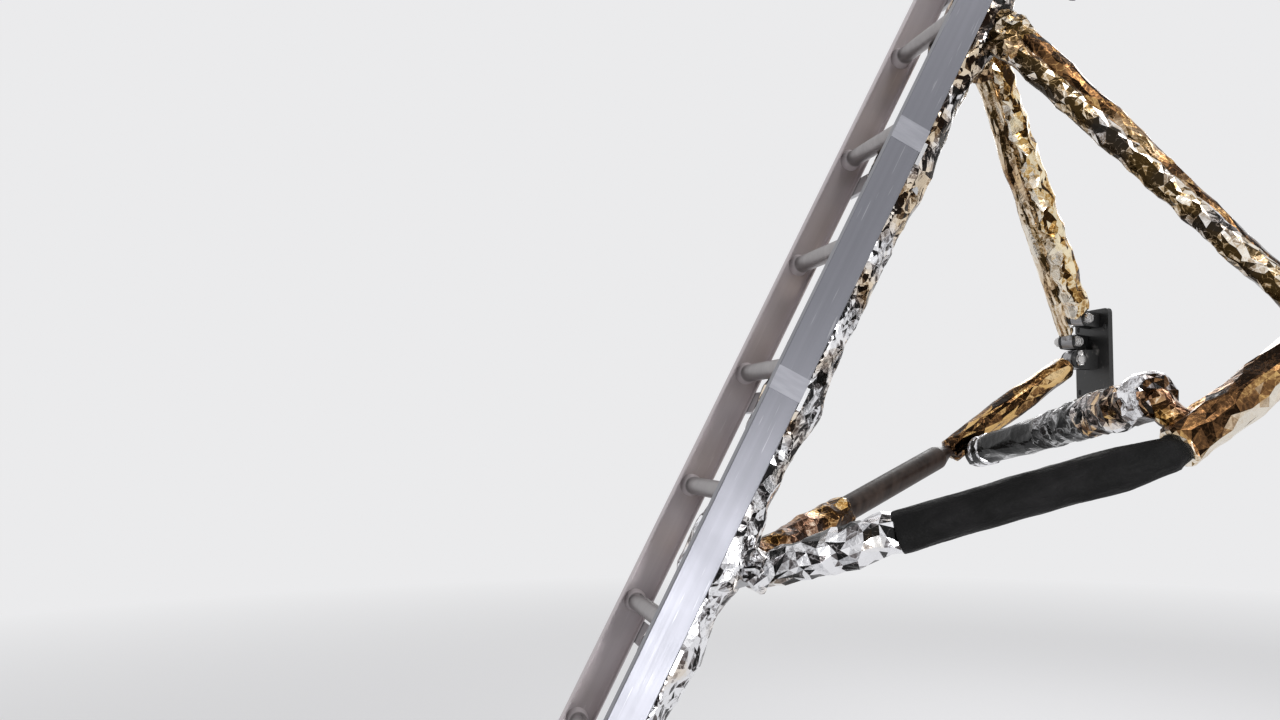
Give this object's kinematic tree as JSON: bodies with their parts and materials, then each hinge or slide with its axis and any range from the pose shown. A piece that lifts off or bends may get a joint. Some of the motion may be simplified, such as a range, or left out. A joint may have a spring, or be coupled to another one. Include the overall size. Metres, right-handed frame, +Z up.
{
  "type": "lunar lander landing gear leg with boarding ladder",
  "caption": "Deployed landing gear leg: foil-wrapped primary strut with boarding ladder, braces, secondary struts, hinged side truss and swivelling dished footpad.",
  "frame": {"origin": "centre of the lower hull bolt pattern, on the brackets' hull face, in the leg's middle plane", "axes": "+X inboard into the hull, along the bolts; +Y across the leg, along the rungs; +Z up"},
  "size_m": [2.166, 1.0128, 2.8796],
  "materials": {
    "aluminium_rail": "brushed, worn",
    "aluminium_rung": "satin, worn",
    "silver_foil": "crumpled bright foil",
    "gold_foil": "crumpled amber and gold foil",
    "black_wrap": "matte, wrinkled",
    "amber_film": "glossy film",
    "fittings": "satin",
    "bright_rod": "polished",
    "steel_pins": "satin",
    "pad_metal": "spun, satin"
  },
  "bodies": {
    "leg": {"strut_outer_cylinder": "silver_foil", "strut_inner_cylinder": "bright_rod", "strut_gland": "fittings", "strut_head": "silver_foil", "apex_collar": "fittings", "knee_collar": "fittings", "near_side_brace": "silver_foil", "far_side_brace": "gold_foil", "near_outrigger_strut": "gold_foil", "far_outrigger_strut": "gold_foil", "near_top_strut": "silver_foil", "far_top_strut": "silver_foil", "near_secondary_rod": "fittings", "far_secondary_rod": "fittings", "near_secondary_cylinder": "fittings", "far_secondary_cylinder": "amber_film", "near_strut_lagging": "silver_foil", "far_strut_lagging": "gold_foil", "near_strut_blanket": "black_wrap", "near_truss_arm": "gold_foil", "far_truss_arm": "gold_foil", "near_corner_fitting": "gold_foil", "far_corner_fitting": "gold_foil", "cross_tube": "black_wrap", "near_lower_bracket": "fittings", "far_lower_bracket": "fittings", "near_upper_bracket": "fittings", "far_upper_bracket": "fittings", "joint_pins": "steel_pins", "near_ladder_rail": "aluminium_rail", "far_ladder_rail": "aluminium_rail", "ladder_rungs": "aluminium_rung", "ladder_standoffs": "fittings"},
    "footpad": {"footpad_dish": "pad_metal", "footpad_socket": "fittings", "footpad_retainer": "fittings"}
  },
  "joints": [
    {"name": "footpad_tilt", "type": "hinge", "parent": "leg", "child": "footpad", "pos_m": [-1.696, 0, -1.492], "axis": [0, 1, 0], "range_deg": [-12, 12]}
  ]
}
